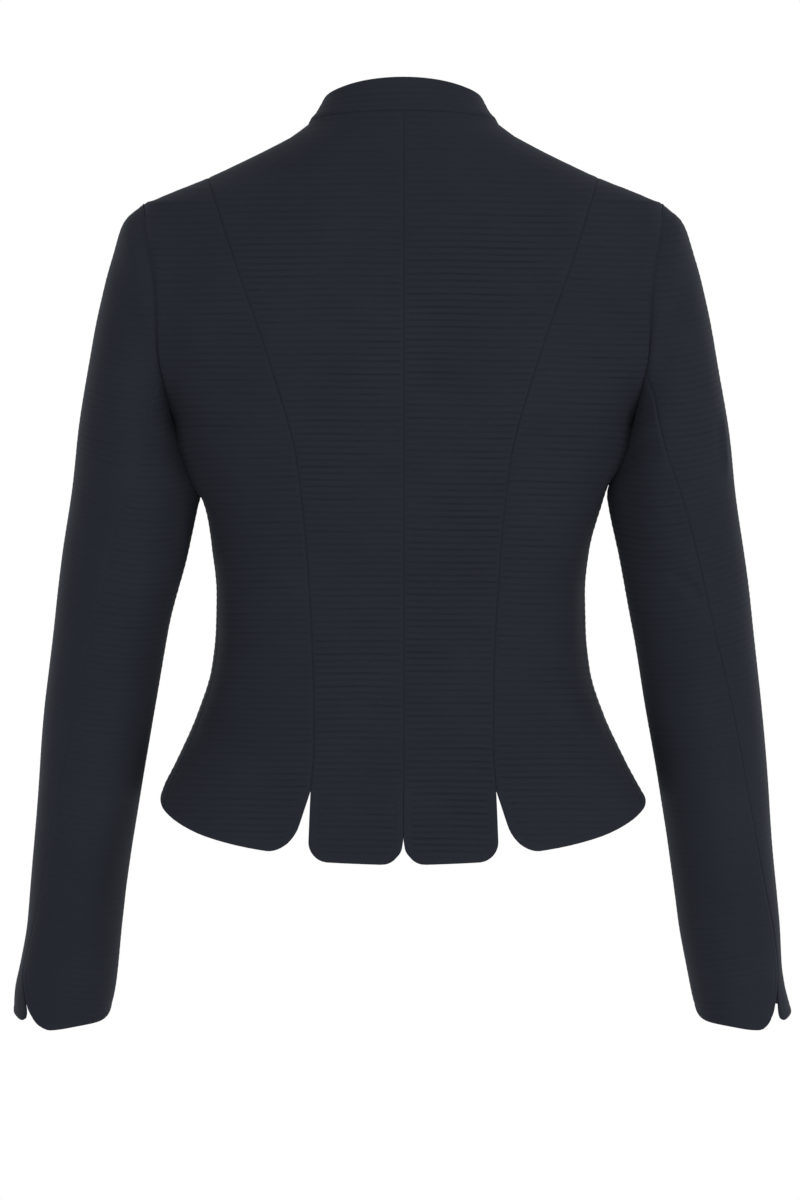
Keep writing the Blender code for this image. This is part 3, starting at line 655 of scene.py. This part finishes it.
def surface(points, normals, phase, free, seed, sign, sewing, extra, worn):
    """Outer and inner skins, with rib phase and rib strength for the material.

    free holds, for each side, how far its edge is a free pressed edge (1) or sewn (0), and
    sewing, as PLAIN_SEAM does, the dip and the ridge of a sewn edge that isn't a plain one."""
    distances = edge_distances(points)
    seen = points * np.array((sign, 1, 1))
    seen_normals = normals * np.array((sign, 1, 1))
    wander = (0.10 * np.sin(seen[..., 0] / 41 + seed) + 0.07 * np.sin(seen[..., 2] / 29 + seed * 3)
              + 0.05 * np.sin(seen[..., 0] / 13 + seen[..., 2] / 61))
    phase = phase + wander + seed * 0.37
    strength = (0.72 + 0.16 * np.sin(seen[..., 0] / 23 + seen[..., 2] / 31 + seed)
                + 0.12 * np.sin(seen[..., 0] / 9 - seen[..., 2] / 7 + 2 * seed))
    strength = strength * worn * (1 + 0.22 * np.sin(2.6 * phase + seen[..., 0] / 47 + seed))
    form = crease_height(seen, seen_normals) + swell(seen, seed)
    settle = np.ones(points.shape[:2])
    detail = extra.copy()
    inner = np.zeros(points.shape[:2])
    for side, d in distances.items():
        loose = free[side] * np.ones(points.shape[:2])
        sewn = 1 - loose
        depth = 1 - np.sqrt(1 - (1 - np.clip(d, 0, 1)) ** 2)
        dip, ridge = sewing.get(side, PLAIN_SEAM)
        detail -= sewn * dip * bell(d, 0.8) + loose * EDGE_ROUNDING * depth
        detail += sewn * ridge * bell(d - 3.2, 2.0)
        detail += loose * (0.12 * ease(d, 0.5, 2) * (1 - ease(d, 4.4, 5.2))
                           - 0.30 * bell(d - 5.6, 0.75))
        inner += loose * EDGE_ROUNDING * depth
        settle *= 0.25 + 0.75 * ease(d, 0, 12)
        strength = strength * (sewn * ease(d, 0.7, 3.2) + loose * (0.12 + 0.88 * ease(d, 5.4, 7.6)))
    ribs = RIB_HEIGHT * strength * (0.5 - 0.5 * np.cos(2 * math.pi * phase))
    form *= settle
    outer = points + normals * (form + detail + ribs)[..., None]
    inside = points + normals * (form + extra + inner - WALL)[..., None]
    return outer, inside, phase, strength


def wall_faces(rows, columns, kept):
    """Faces of the outer skin, of the inner skin's kept rows, and of the rims between them."""
    count, last = rows * columns, len(kept) - 1

    def quads(first, height):
        index = first + np.arange(height * columns).reshape(height, columns)
        return np.stack((index[:-1, :-1], index[1:, :-1], index[1:, 1:], index[:-1, 1:]),
                        axis=-1).reshape(-1, 4).tolist()

    def out(row, column):
        return row * columns + column

    def within(row, column):
        return count + row * columns + column

    faces = [tuple(face) for face in quads(0, rows)]
    faces += [tuple(face[::-1]) for face in quads(count, len(kept))]
    for c in range(columns - 1):
        faces.append((out(0, c), out(0, c + 1), within(0, c + 1), within(0, c)))
        faces.append((out(rows - 1, c + 1), out(rows - 1, c),
                      within(last, c), within(last, c + 1)))
    for k, (start, stop) in enumerate(zip(kept, kept[1:])):
        middle = (start + stop) // 2
        for column, turned in ((0, False), (columns - 1, True)):
            fan = [(out(r, column), within(k, column), out(r + 1, column))
                   for r in range(start, middle)]
            fan.append((out(middle, column), within(k, column), within(k + 1, column)))
            fan += [(out(r, column), within(k + 1, column), out(r + 1, column))
                    for r in range(middle, stop)]
            faces += [face[::-1] if turned else face for face in fan]
    return faces


def cloth(name, node, skins, mirrored, material):
    """Close the two skins into one wall; the inner skin has one row for every six."""
    outer, inside, phase, strength = skins
    rows, columns = outer.shape[:2]
    count = rows * columns
    kept = list(range(0, rows - 1, 6)) + [rows - 1]
    if kept[-1] - kept[-2] < 3 and len(kept) > 2:
        kept.pop(-2)
    vertices = np.concatenate((outer.reshape(-1, 3), inside[kept].reshape(-1, 3)))
    if mirrored:
        vertices = vertices * np.array((-1, 1, 1))
    faces = wall_faces(rows, columns, kept)
    r, c = rows // 2, columns // 2
    turn = np.cross(outer[r + 1, c] - outer[r, c], outer[r, c + 1] - outer[r, c])
    if (turn @ (outer[r, c] - inside[r, c]) < 0) != mirrored:
        faces = [face[::-1] for face in faces]
    data = bpy.data.meshes.new(name)
    data.from_pydata((vertices * MM).tolist(), [], faces)
    for label, values in (("rib_phase", phase), ("rib_strength", strength)):
        flat_values = np.concatenate((values.reshape(-1), values[kept].reshape(-1)))
        if label == "rib_strength":
            flat_values[count:] *= 0.25
        layer = data.attributes.new(label, "FLOAT", "POINT")
        layer.data.foreach_set("value", flat_values.astype(np.float32))
    lay_flat(data, outer, kept, rows, columns)
    data.materials.append(material)
    data.shade_smooth()
    data.set_sharp_from_angle(angle=math.radians(62))
    data.validate()
    piece = add(name, data)
    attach(piece, "root")
    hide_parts(node)


def whole_numbers(items, label):
    numbers = np.empty(len(items), dtype=np.int64)
    items.foreach_get(label, numbers)
    return numbers


def lay_flat(data, outer, kept, rows, columns):
    """UV map: the outer skin on the left, the inner one on the right, rims in thin strips."""
    distances = edge_distances(outer)
    u = 0.02 + 0.58 * (distances["left"] / distances["left"][:, -1:])
    v = 0.02 + 0.96 * (distances["bottom"] / distances["bottom"][:1])
    small_u = 0.66 + 0.32 * (u[kept] - 0.02) / 0.58
    count = rows * columns
    place = np.concatenate((np.stack((u, v), -1).reshape(-1, 2),
                            np.stack((small_u, v[kept]), -1).reshape(-1, 2)))
    loops = whole_numbers(data.loops, "vertex_index")
    uv = place[loops]
    on_inner = loops >= count
    starts = whole_numbers(data.polygons, "loop_start")
    sizes = whole_numbers(data.polygons, "loop_total")
    inner_share = np.add.reduceat(on_inner, starts) / sizes
    mixed = np.repeat((inner_share > 0) & (inner_share < 1), sizes)
    local = loops - count
    row = np.asarray(kept)[np.clip(local // columns, 0, len(kept) - 1)]
    column = np.clip(local % columns, 0, columns - 1)
    back_on_outer = np.stack((u[row, column], v[row, column]), axis=-1)
    push = np.stack((np.where(column == 0, -0.008, np.where(column == columns - 1, 0.008, 0.0)),
                     np.where(row == 0, 0.008, np.where(row == rows - 1, -0.008, 0.0))), axis=-1)
    uv = np.where((mixed & on_inner)[:, None], back_on_outer + push, uv)
    layer = data.uv_layers.new(name="OFBake")
    layer.data.foreach_set("uv", uv.astype(np.float32).reshape(-1))


# ------ materials
def set_inputs(node, values):
    for label, value in values.items():
        node.inputs[label].default_value = value


def plain_material(name, colour, roughness):
    material = bpy.data.materials.new(name)
    material.use_nodes = True
    set_inputs(material.node_tree.nodes["Principled BSDF"],
               {"Base Color": colour, "Roughness": roughness})
    return material


def maths(tree, operation, *values):
    node = tree.nodes.new("ShaderNodeMath")
    node.operation = operation
    for socket, value in zip(node.inputs, values):
        if isinstance(value, (int, float)):
            socket.default_value = value
        else:
            tree.links.new(value, socket)
    return node.outputs[0]


def attribute(tree, name):
    node = tree.nodes.new("ShaderNodeAttribute")
    node.attribute_name = name
    return node.outputs["Fac"]


def noise(tree, scale, detail, roughness=0.55, stretch=(1, 1, 1)):
    place = tree.nodes.new("ShaderNodeTexCoord")
    mapping = tree.nodes.new("ShaderNodeMapping")
    mapping.inputs["Scale"].default_value = stretch
    tree.links.new(place.outputs["Object"], mapping.inputs["Vector"])
    node = tree.nodes.new("ShaderNodeTexNoise")
    set_inputs(node, {"Scale": scale, "Detail": detail, "Roughness": roughness})
    tree.links.new(mapping.outputs["Vector"], node.inputs["Vector"])
    return node.outputs["Fac"]


def cloth_material():
    material = plain_material("ribbed_navy_cloth", CLOTH_COLOUR, 0.92)
    tree = material.node_tree
    shader = tree.nodes["Principled BSDF"]
    set_inputs(shader, {"Specular IOR Level": 0.05, "Sheen Weight": 0.025,
                        "Sheen Roughness": 0.45, "Sheen Tint": (0.62, 0.68, 0.85, 1)})
    phase, strength = attribute(tree, "rib_phase"), attribute(tree, "rib_strength")
    # Darker colour along the rib grooves is painted shade in the grooves, over ribs that are real
    # geometry too; the same groove profile also feeds the bump.
    groove = maths(tree, "POWER", maths(tree, "ABSOLUTE", maths(
        tree, "COSINE", maths(tree, "MULTIPLY", phase, math.pi))), 7.0)
    broken = maths(tree, "MULTIPLY_ADD", noise(tree, 60, 2, 0.6, (0.5, 0.5, 1.0)), 1.1, 0.35)
    groove = maths(tree, "MULTIPLY", maths(tree, "MULTIPLY", groove, strength), broken)
    blotch = maths(tree, "MULTIPLY_ADD", noise(tree, 16, 3), 0.26, 0.87)
    fleck = maths(tree, "MULTIPLY_ADD", noise(tree, 900, 2, 0.7), 0.36, 0.82)
    # The cloth's own random tone (blotch, fleck) times the painted groove shade.
    tone_and_groove_shade = maths(tree, "MULTIPLY", maths(tree, "MULTIPLY", blotch, fleck),
                  maths(tree, "SUBTRACT", 1.0, maths(tree, "MULTIPLY", groove, 0.24)))
    tint = tree.nodes.new("ShaderNodeMix")
    tint.data_type = "RGBA"
    tint.blend_type = "MULTIPLY"
    set_inputs(tint, {"Factor": 1.0, "A": CLOTH_COLOUR})
    tree.links.new(tone_and_groove_shade, tint.inputs["B"])
    tree.links.new(tint.outputs["Result"], shader.inputs["Base Color"])
    knit = maths(tree, "MULTIPLY_ADD", noise(tree, 1300, 2, 0.6, (1, 1, 0.55)), 0.35,
                 maths(tree, "MULTIPLY", groove, -0.9))
    bump = tree.nodes.new("ShaderNodeBump")
    set_inputs(bump, {"Strength": 0.55, "Distance": 0.0003})
    tree.links.new(knit, bump.inputs["Height"])
    tree.links.new(bump.outputs["Normal"], shader.inputs["Normal"])
    return material


# ------ the jacket
# The photo's two sides aren't quite mirror images.  Millimetres out from the part's form at the
# waist and along the sleeve, levels between which body and sleeve part, and how the ribs show.
SIDES = {
    "left": {"mirrored": False, "waist": 2.4, "sleeve_inner": -2.3, "sleeve_outer": 2.2,
             "cuff_kick": 0.0, "parting": (272, 296), "tongue_corner": 18,
             "elbow_dip": 0.32, "elbow_ridge": 0.0, "torso_ribs": 0.86, "sleeve_ribs": 0.5,
             "seed": 0.0},
    "right": {"mirrored": True, "waist": -1.3, "sleeve_inner": 2.2, "sleeve_outer": -2.6,
              "cuff_kick": 4.0, "parting": (260, 282), "tongue_corner": 14,
              "elbow_dip": 0.75, "elbow_ridge": 0.2, "torso_ribs": 1.0, "sleeve_ribs": 0.8,
              "seed": 0.9},
}
ONLY_HEM_FREE = {"left": 0.0, "right": 0.0, "top": 0.0, "bottom": 1.0}
SEEDS = {"back_centre": 0.4, "back_side": 1.7, "front_side": 2.9, "front_centre": 3.8,
         "top_sleeve": 5.1, "under_sleeve": 6.3}
HEM_CORNERS = {"back_centre": {"left": 13, "right": 15}, "back_side": {"left": 19},
               "front_centre": {"right": 20}, "top_sleeve": {"right": 14}}
ARMHOLE_EDGE = {"back_side": "right", "front_side": "left", "top_sleeve": "top",
                "under_sleeve": "top"}
ELBOW_EDGE = {"top_sleeve": "right", "under_sleeve": "left"}


def below(points, column, start, end):
    """How far each place of an edge column lies below a level, as a share, for free edges."""
    return ease(-points[:, column, 2][:, None], start, end)


def between(z, top, bottom):
    """1 between two levels below the neck, easing in over one pair and out over the other."""
    return ease(-z, *top) * (1 - ease(-z, *bottom))


def sheets(mirrored):
    """Points, outward directions, rib phase and free edges of every sheet of one side."""
    made = {}
    for name, grid in (("back_centre", back_centre()), ("back_side", back_side()),
                       ("front_side", front_side()), ("front_centre", front_centre())):
        points = on_form(grid)
        normals = form_normal(grid[..., 0], grid[..., 1])
        phase = torso_phase(points)
        free = dict(ONLY_HEM_FREE)
        if name == "front_centre":
            free["right"] = 1.0
            if mirrored:
                lift = LAP_LIFT * ease(-points[..., 0], -LAP_START, -LAP_LIFTED)
                points = points + normals * lift[..., None]
        if name in ("back_centre", "back_side"):
            free["left"] = below(points, 0, 498.5, 501)
        if name == "back_centre":
            free["right"] = below(points, -1, 498.5, 501)
        made[name] = (draw_in(points), normals, phase, free)
    for name, (points, normals) in zip(("top_sleeve", "under_sleeve"), sleeve()):
        free = dict(ONLY_HEM_FREE)
        free[ELBOW_EDGE[name]] = below(points, -1 if name == "top_sleeve" else 0, 634, 640)
        made[name] = (draw_in(points), normals, sleeve_phase(points), free)
    return made


def flatten_armhole(points, y, z, edge):
    """The pressed armhole seam lies flatter than the form's valley."""
    filled = (8.5 * np.clip(y / 32, -1, 1) * ease(z, -229, -212)
              * bell(edge_distances(points)[edge], 18))
    return points + np.array((0, 1, 0)) * filled[..., None]


def broaden_back(points, y, z):
    """The back stays broad up to the arm, and the sleeve passes behind its edge."""
    broad = (7.0 * bell(y - 28, 16) * ease(y, 2, 16) * between(z, (205, 235), (265, 320))
             * ease(edge_distances(points)["right"], 0, 20))
    return points + np.array((0.25, 1, 0)) * broad[..., None]


def under_arm(facing, y, z, parting, middle):
    """Body and sleeve press together under the arm: height over the form of either one."""
    pressed = between(z, (227, 243), (parting[0] - 10, parting[1] - 6))
    return (between(z, (225.5, 230), parting) * ease(facing, *middle["flat"])
            + 5.5 * pressed * bell(y - middle["y"], middle["reach"]) * ease(facing, 0.3, 0.7))


def torso_height(normals, y, z, side):
    outward = normals[..., 0]
    middle = {"flat": (0.5, 0.95), "y": 22, "reach": 13}
    return (under_arm(outward, y, z, side["parting"], middle)
            + side["waist"] * ease(outward, 0.5, 0.95) * between(z, (285, 325), (494, 514)))


def sleeve_height(name, points, normals, y, z, side):
    outward = normals[..., 0]
    middle = {"flat": (0.45, 0.9), "y": 20, "reach": 11}
    height = under_arm(-outward, y, z, side["parting"], middle)
    height += side["sleeve_inner"] * ease(-outward, 0.45, 0.9) * between(z, (320, 380), (600, 660))
    height -= (4.5 * bell(y - 46, 15) * ease(-outward, 0.1, 0.5)
               * between(z, (228, 250), (280, 350)))
    flare = side["sleeve_outer"] * ease(-z, 600, 650)
    if name == "top_sleeve":
        flare += side["cuff_kick"] * ease(-z, 650, 676)
        head = np.hypot(points[..., 0] - 206, z + 70)
        height += 1.2 * bell(head, 17) * ease(outward, 0.2, 0.7)
    return height + flare * ease(outward, 0.3, 0.9)


def seam_relief(name, points, z, side):
    """Depth of the dip at a sewn edge and height of the ridge beside it, where not the usual."""
    if name in ELBOW_EDGE:
        relief = {"top": (-0.35, 0.16), "left": (0.32, 0.0), "right": (0.32, 0.0)}
        relief[ELBOW_EDGE[name]] = (side["elbow_dip"],
                                    side["elbow_ridge"] if name == "under_sleeve" else 0.0)
        return relief
    relief = {}
    if name.startswith("back"):
        # the long back seams lie deepest, and run out where they meet the collar or shoulder
        along = 1 - 0.75 * bell(edge_distances(points)["top"], 6)
        relief["left"] = ((0.72 if name == "back_centre" else 0.85) * along, 0.06)
        if name == "back_centre":
            relief["right"] = (0.85 * along, 0.06)
    if name in ARMHOLE_EDGE:
        at_armhole = ease(z, -226, -214)
        relief[ARMHOLE_EDGE[name]] = (0.45 - 0.8 * at_armhole, 0.35 * at_armhole)
    return relief


def rib_show(name, z, side):
    """How strongly the ribs show: less on the yoke and towards the hand."""
    if name in ELBOW_EDGE:
        shown = 0.9 if name == "under_sleeve" else side["sleeve_ribs"]
        return shown * (1 - 0.55 * ease(-z, 330, 480))
    return side["torso_ribs"] * (0.55 + (0.75 if name == "back_centre" else 0.5)
                                 * ease(-z, 20, 110))


def build_side(side_name, material):
    side = SIDES[side_name]
    for name, (points, normals, phase, free) in sheets(side["mirrored"]).items():
        corners = dict(HEM_CORNERS.get(name, {}))
        if name == "under_sleeve":
            corners["left"] = side["tongue_corner"]
        for edge, radius in corners.items():
            points = round_corner(points, edge, radius)
        y, z = points[..., 1], points[..., 2]
        if name in ARMHOLE_EDGE:
            points = flatten_armhole(points, y, z, ARMHOLE_EDGE[name])
        relief = seam_relief(name, points, z, side)
        extra = np.zeros(z.shape)
        if name in ELBOW_EDGE:
            extra = sleeve_height(name, points, normals, y, z, side)
        elif name in ARMHOLE_EDGE:
            extra = torso_height(normals, y, z, side)
        if name == "back_side":
            points = broaden_back(points, y, z)
        skins = surface(points, normals, phase, free, SEEDS[name] + side["seed"],
                        -1 if side["mirrored"] else 1, relief, extra, rib_show(name, z, side))
        node = name + "_" + side_name
        cloth(node + "_cloth", node, skins, side["mirrored"], material)


def build_collar(material):
    points, normals = collar()
    phase = 0.15 + (edge_distances(points)["bottom"]) / RIB
    free = {"left": 1.0, "right": 1.0, "top": 1.0, "bottom": 0.0}
    points = draw_in(points, COLLAR_END_GAP)
    skins = surface(points, normals, phase, free, 0.0, 1, {"bottom": (0.28, 0.5)},
                    np.zeros(points.shape[:2]), 0.6)
    cloth("collar_cloth", "collar", skins, False, material)


BUTTON_RIM = 1.4          # height of the part's button rim above its seat
BUTTON_SIDES = 40
BUTTON_PROFILE = (        # radius and height above the seat
    (0, 3.6), (1.2, 3.58), (2.6, 3.46), (4.0, 3.2), (5.2, 2.84), (6.1, 2.4), (6.7, 2.0),
    (7.1, 1.72), (7.32, 1.5), (7.45, 1.2), (7.42, 0.85), (7.2, 0.5), (6.9, 0.3), (6.75, 0.05),
    (0, 0.02))


def build_buttons(material):
    """Domed buttons turned finer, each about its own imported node's axis."""
    profile = BUTTON_PROFILE
    sides = BUTTON_SIDES
    for number in range(1, 8):
        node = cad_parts["button_%d" % number]
        corners = np.array([node.matrix_world @ v.co for v in node.data.vertices]) / MM
        axis = np.linalg.svd(corners - corners.mean(axis=0))[2][2]
        axis = axis if axis[1] < 0 else -axis
        heights = corners @ axis
        rim = corners[np.abs(heights - heights.min() - BUTTON_RIM) < 0.15]
        seat = rim.mean(axis=0) - axis * BUTTON_RIM
        first = unit(np.cross(axis, (0, 0, 1.0)))
        second = np.cross(axis, first)
        vertices, faces = [seat + axis * profile[0][1]], []
        for radius, height in profile[1:-1]:
            for step in range(sides):
                turn = 2 * math.pi * step / sides
                vertices.append(seat + axis * height
                                + (first * math.cos(turn) + second * math.sin(turn)) * radius)
        vertices.append(seat + axis * profile[-1][1])
        last = len(vertices) - 1
        for step in range(sides):
            other = (step + 1) % sides
            faces.append((0, 1 + step, 1 + other))
            for ring in range(len(profile) - 3):
                low = 1 + ring * sides
                faces.append((low + step, low + sides + step, low + sides + other, low + other))
            faces.append((last, last - sides + other, last - sides + step))
        data = bpy.data.meshes.new("button_turned")
        data.from_pydata((np.array(vertices) * MM).tolist(), [], faces)
        data.materials.append(material)
        data.shade_smooth()
        data.set_sharp_from_angle(angle=math.radians(50))
        piece = add("button_%d_turned" % number, data)
        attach(piece, "root")
        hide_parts("button_%d" % number)


cloth_look = cloth_material()
build_side("left", cloth_look)
build_side("right", cloth_look)
build_collar(cloth_look)
build_buttons(plain_material("dark_button_horn", BUTTON_COLOUR, 0.38))


# ------ stage, light and camera
def stage_floor():
    bpy.ops.mesh.primitive_plane_add(size=8.6, location=(0, 0, -1.40))
    floor = bpy.context.object
    floor.name = "floor"
    floor.data.materials.append(plain_material("pale_floor", FLOOR_COLOUR, 0.9))


LIGHTS = {                # place in metres, size in metres, watts
    "key": ((-3.0, 2.4, 1.0), 1.6, 60),
    "fill": ((0.8, 5.6, 0.2), 3.0, 84),
    "left_side": ((3.0, 2.8, -0.3), 2.0, 24),
    "right_side": ((-3.0, 2.9, -0.8), 2.0, 22),
    "front_key": ((0.5, -4.2, 0.8), 2.4, 6),
    "front_left": ((2.4, -3.4, -0.3), 1.2, 26),
    "front_right": ((-2.4, -3.4, -0.3), 1.2, 26),
}
MIDDLE = (0, 0, -0.36)    # what every light faces
CAMERA_PLACE = (0.0025, 6.0, -0.3586)
CAMERA_SENSOR = 36
CAMERA_VIEW = 0.906       # metres across the picture's height, at the jacket


def light(name, place, size, power):
    data = bpy.data.lights.new(name, "AREA")
    data.shape = "DISK"
    data.size, data.energy = size, power
    lamp = add(name, data)
    lamp.location = place
    lamp.rotation_euler = (Vector(MIDDLE) - Vector(place)).to_track_quat("-Z", "Y").to_euler()


def set_scene():
    scene = bpy.context.scene
    world = bpy.data.worlds.new("white_studio")
    world.use_nodes = True
    set_inputs(world.node_tree.nodes["Background"], {"Color": (1, 1, 1, 1), "Strength": 1.0})
    scene.world = world
    scene.view_settings.view_transform = "Standard"
    scene.view_settings.look = "None"
    for name, (place, size, power) in LIGHTS.items():
        light(name, place, size, power)
    camera = add("camera", bpy.data.cameras.new("camera"))
    camera.location = CAMERA_PLACE
    camera.rotation_euler = (math.radians(90), 0, math.radians(180))
    camera.data.sensor_width = CAMERA_SENSOR
    camera.data.lens = CAMERA_SENSOR * CAMERA_PLACE[1] / CAMERA_VIEW
    camera.data.clip_end = 60
    scene.camera = camera


stage_floor()
set_scene()
